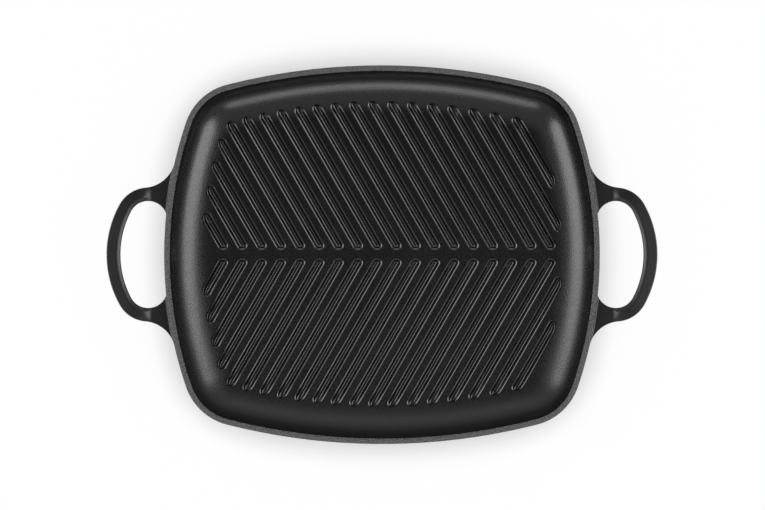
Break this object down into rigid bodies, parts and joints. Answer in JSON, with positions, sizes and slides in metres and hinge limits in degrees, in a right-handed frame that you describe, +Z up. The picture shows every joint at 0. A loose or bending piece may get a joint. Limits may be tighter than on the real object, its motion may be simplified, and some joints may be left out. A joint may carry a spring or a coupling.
{
  "type": "grill plate",
  "caption": "Shallow bowed rectangular cast-iron grill plate with black enamel, a herringbone of raised grill ribs, a coved wall with a flat rim, and a loop handle at each end.",
  "frame": {"origin": "middle of the flat base", "axes": "+X along the length, from handle to handle and the way the rib chevrons point; +Z up out of the tray"},
  "size_m": [0.4554, 0.313, 0.032],
  "materials": {
    "tray_enamel": "satin black enamel, rim left rougher and greyer",
    "rib_enamel": "satin black enamel",
    "handle_enamel": "satin black enamel"
  },
  "bodies": {
    "root": {"tray_body": "tray_enamel", "right_handle": "handle_enamel", "left_handle": "handle_enamel", "upper_rib_01": "rib_enamel", "lower_rib_01": "rib_enamel", "upper_rib_02": "rib_enamel", "lower_rib_02": "rib_enamel", "upper_rib_03": "rib_enamel", "lower_rib_03": "rib_enamel", "upper_rib_04": "rib_enamel", "lower_rib_04": "rib_enamel", "upper_rib_05": "rib_enamel", "lower_rib_05": "rib_enamel", "upper_rib_06": "rib_enamel", "lower_rib_06": "rib_enamel", "upper_rib_07": "rib_enamel", "lower_rib_07": "rib_enamel", "upper_rib_08": "rib_enamel", "lower_rib_08": "rib_enamel", "upper_rib_09": "rib_enamel", "lower_rib_09": "rib_enamel", "upper_rib_10": "rib_enamel", "lower_rib_10": "rib_enamel", "upper_rib_11": "rib_enamel", "lower_rib_11": "rib_enamel", "upper_rib_12": "rib_enamel", "lower_rib_12": "rib_enamel", "upper_rib_13": "rib_enamel", "lower_rib_13": "rib_enamel", "upper_rib_14": "rib_enamel", "lower_rib_14": "rib_enamel", "upper_rib_15": "rib_enamel", "lower_rib_15": "rib_enamel", "upper_rib_16": "rib_enamel", "lower_rib_16": "rib_enamel", "upper_rib_17": "rib_enamel", "lower_rib_17": "rib_enamel", "upper_rib_18": "rib_enamel", "lower_rib_18": "rib_enamel", "upper_rib_19": "rib_enamel", "lower_rib_19": "rib_enamel", "upper_rib_20": "rib_enamel", "lower_rib_20": "rib_enamel"}
  },
  "joints": []
}
